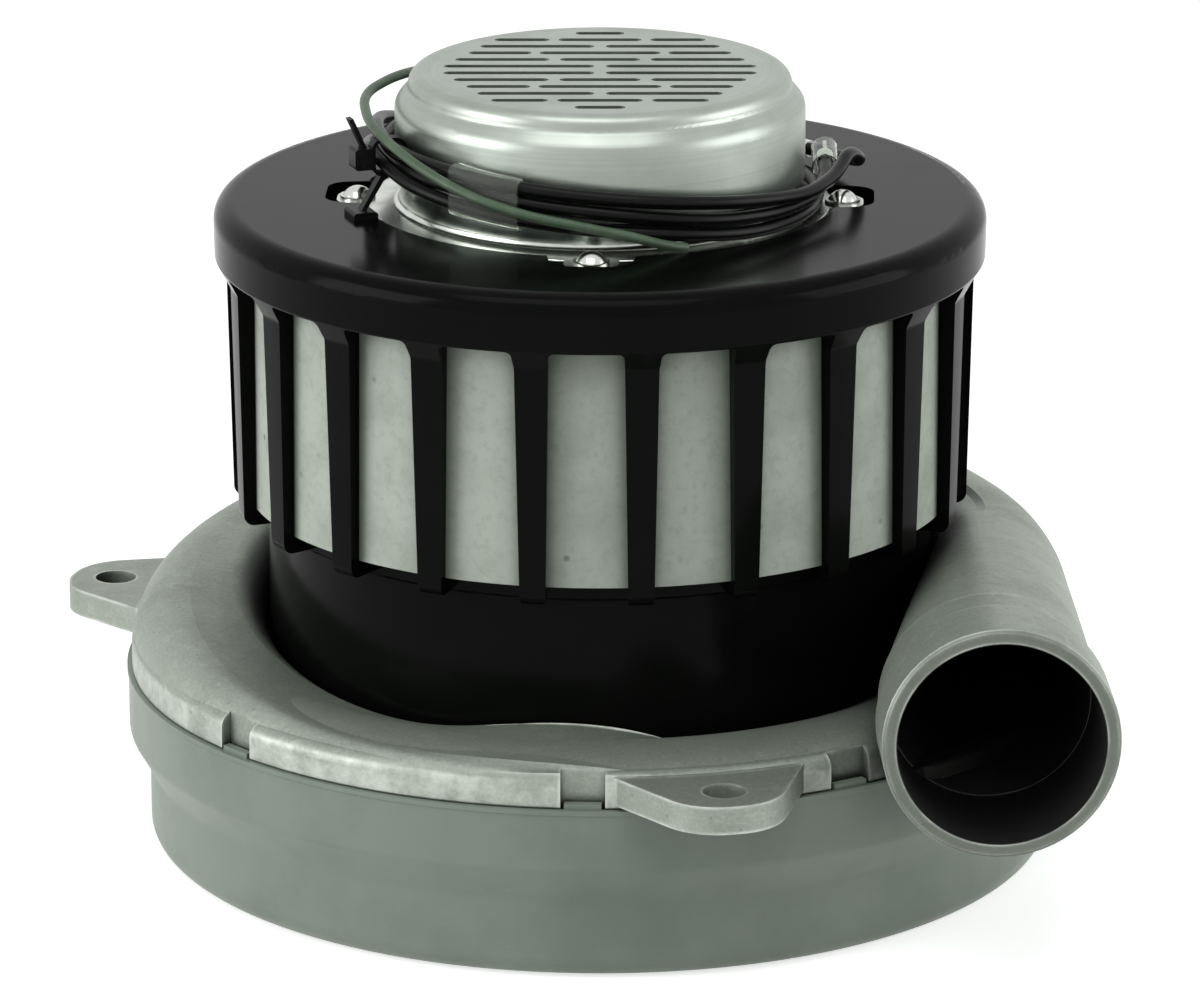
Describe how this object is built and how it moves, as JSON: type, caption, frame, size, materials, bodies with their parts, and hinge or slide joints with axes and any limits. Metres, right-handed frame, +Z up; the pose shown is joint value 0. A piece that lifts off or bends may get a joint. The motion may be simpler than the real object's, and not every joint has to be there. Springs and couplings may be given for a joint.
{
  "type": "vacuum motor",
  "caption": "Two-stage bypass vacuum motor: round fan shell, cast casing with a tangential exhaust horn, ribbed filter shroud and slotted vent cap.",
  "frame": {"origin": "on the motor axis, at the height of the fan shell's bottom face, in the air intake", "axes": "+Z up along the motor axis from the intake to the vent cap; the exhaust horn opens towards -Y on the +X side"},
  "size_m": [0.2329, 0.2316, 0.1762],
  "materials": {
    "shell_paint": "satin grey-green enamel on drawn steel",
    "cast_aluminium": "matte sand-cast aluminium",
    "black_plastic": "glossy black moulded plastic",
    "filter_foam": "pale open-cell filter",
    "bright_steel": "bright drawn steel",
    "cap_steel": "soft brushed, nickel-grey",
    "screw_steel": "bright plated steel",
    "spun_aluminium": "spun sheet aluminium",
    "bearing_steel": "ground bearing steel",
    "laminations": "oiled laminated steel",
    "copper": "enamelled copper",
    "carbon": "matte carbon",
    "brass": "plain brass",
    "fan_plastic": "matte black plastic",
    "black_lead": "black wire insulation",
    "green_lead": "green wire insulation",
    "clear_sleeve": "clear soft tubing",
    "tie_nylon": "black nylon",
    "rubber": "matte rubber"
  },
  "bodies": {
    "motor_body": {"bearing_retainer": "bright_steel", "black_lead_1": "black_lead", "black_lead_2": "black_lead", "brush_clip_left": "brass", "brush_clip_right": "brass", "brush_holder_left": "fan_plastic", "brush_holder_right": "fan_plastic", "brush_spring_left": "screw_steel", "brush_spring_right": "screw_steel", "brush_tube_left": "brass", "brush_tube_right": "brass", "cable_tie": "tie_nylon", "commutator_bracket": "bright_steel", "earth_wire": "green_lead", "end_sleeve": "clear_sleeve", "fan_shell": "shell_paint", "field_coil_left": "copper", "field_coil_right": "copper", "field_core": "laminations", "filter_ring": "filter_foam", "filter_shroud": "black_plastic", "flange_screws": "screw_steel", "frame_screws": "screw_steel", "holder_screws": "screw_steel", "horn_casting": "cast_aluminium", "lead_grommet": "rubber", "lead_sleeve": "clear_sleeve", "lead_terminals": "screw_steel", "lower_outer_race": "bearing_steel", "motor_frame": "bright_steel", "retainer_screws": "screw_steel", "shaft_seal": "rubber", "stationary_fan": "spun_aluminium", "upper_outer_race": "bearing_steel", "vent_cap": "cap_steel"},
    "rotor": {"shaft": "bearing_steel", "impeller_nut": "screw_steel", "impeller_washer": "screw_steel", "first_impeller": "spun_aluminium", "impeller_spacer": "spun_aluminium", "second_impeller": "spun_aluminium", "bearing_spacer": "bearing_steel", "lower_inner_race": "bearing_steel", "upper_inner_race": "bearing_steel", "armature_core": "laminations", "armature_winding": "copper", "commutator": "copper", "cooling_fan": "fan_plastic", "cooling_fan_nut": "screw_steel"},
    "lower_cage": {"lower_ball_cage": "bearing_steel", "lower_balls": "bearing_steel"},
    "upper_cage": {"upper_ball_cage": "bearing_steel", "upper_balls": "bearing_steel"},
    "brush_right_slide": {"brush_right": "carbon"},
    "brush_left_slide": {"brush_left": "carbon"}
  },
  "joints": [
    {"name": "rotor_spin", "type": "hinge", "parent": "motor_body", "child": "rotor", "pos_m": [0, 0, 0.048], "axis": [0, 0, 1], "continuous": true},
    {"name": "lower_cage_spin", "type": "hinge", "parent": "motor_body", "child": "lower_cage", "pos_m": [0, 0, 0.0515], "axis": [0, 0, 1], "continuous": true},
    {"name": "upper_cage_spin", "type": "hinge", "parent": "motor_body", "child": "upper_cage", "pos_m": [0, 0, 0.1515], "axis": [0, 0, 1], "continuous": true},
    {"name": "brush_right_travel", "type": "slide", "parent": "motor_body", "child": "brush_right_slide", "axis": [1, 0, 0], "range_m": [0, 0.004], "stiffness_N_per_m": 60, "springref_m": -0.01, "deforming": ["brush_spring_right"]},
    {"name": "brush_left_travel", "type": "slide", "parent": "motor_body", "child": "brush_left_slide", "axis": [-1, 0, 0], "range_m": [0, 0.004], "stiffness_N_per_m": 60, "springref_m": -0.01, "deforming": ["brush_spring_left"]}
  ],
  "couplings": [
    {"joint": "lower_cage_spin", "follows": "rotor_spin", "ratio": 0.368},
    {"joint": "upper_cage_spin", "follows": "rotor_spin", "ratio": 0.368}
  ]
}
